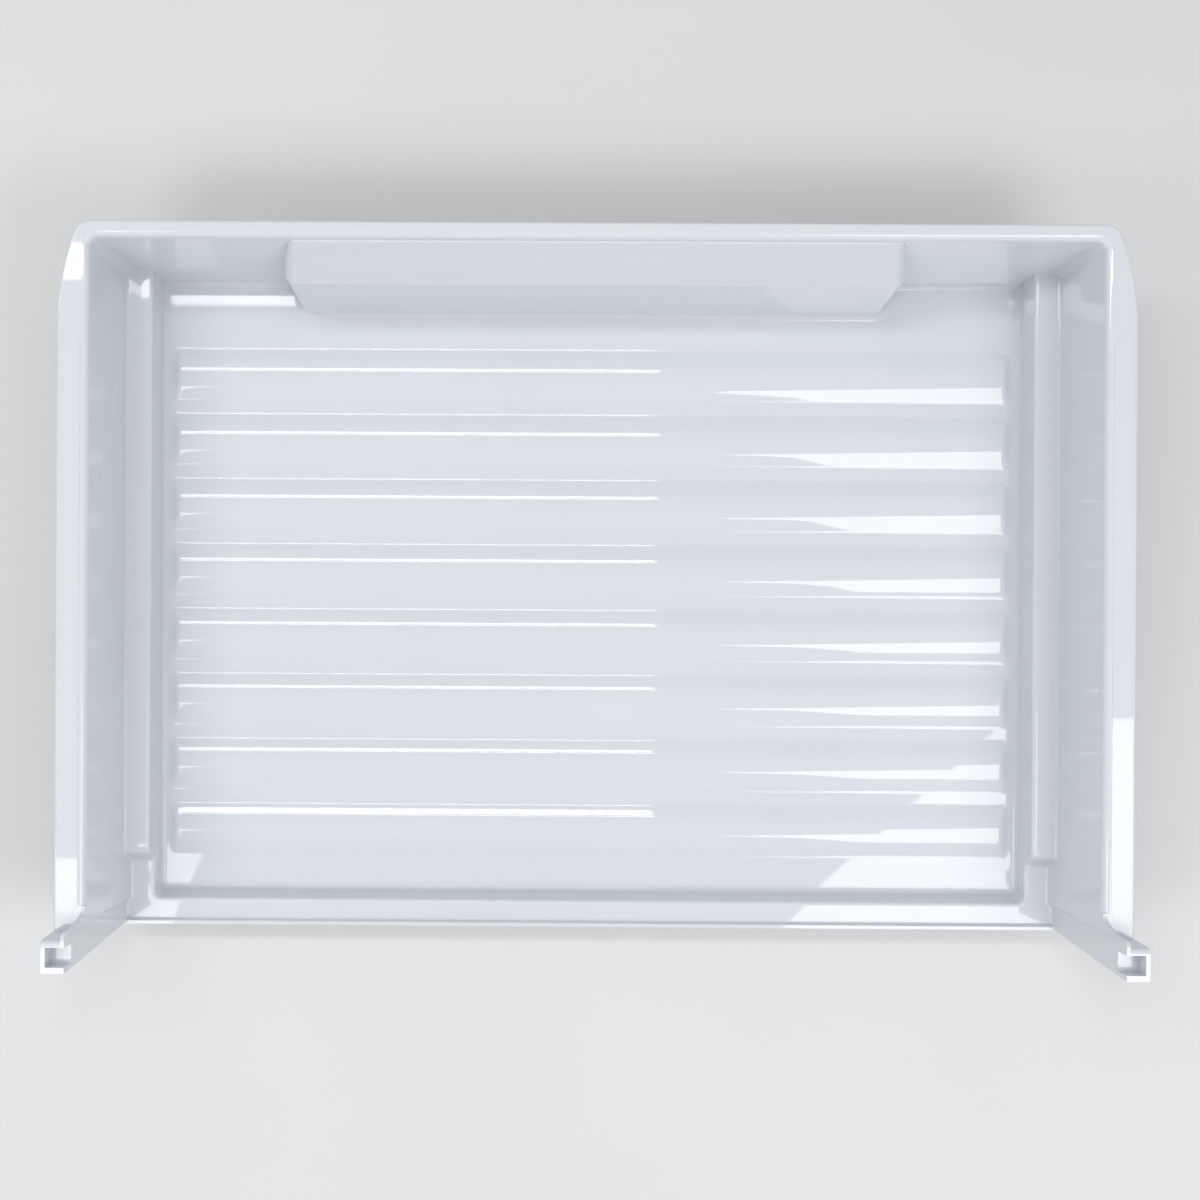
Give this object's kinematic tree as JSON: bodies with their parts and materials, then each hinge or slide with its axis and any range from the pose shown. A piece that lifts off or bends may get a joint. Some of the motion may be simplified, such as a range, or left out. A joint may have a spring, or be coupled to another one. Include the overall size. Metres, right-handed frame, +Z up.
{
  "type": "fridge drawer",
  "caption": "Wide moulded fridge drawer pan with a ribbed floor, runner ledges, flanged rim, bulged back wall and an open front with sockets for a panel.",
  "frame": {"origin": "middle of the underside, on the surface that the drawer stands on", "axes": "+X across the drawer, +Y to its back wall, +Z up"},
  "size_m": [0.7014, 0.4836, 0.152],
  "materials": {
    "moulding": "glossy pale blue-white moulded plastic"
  },
  "bodies": {
    "root": {"drawer_pan": "moulding"}
  },
  "joints": []
}
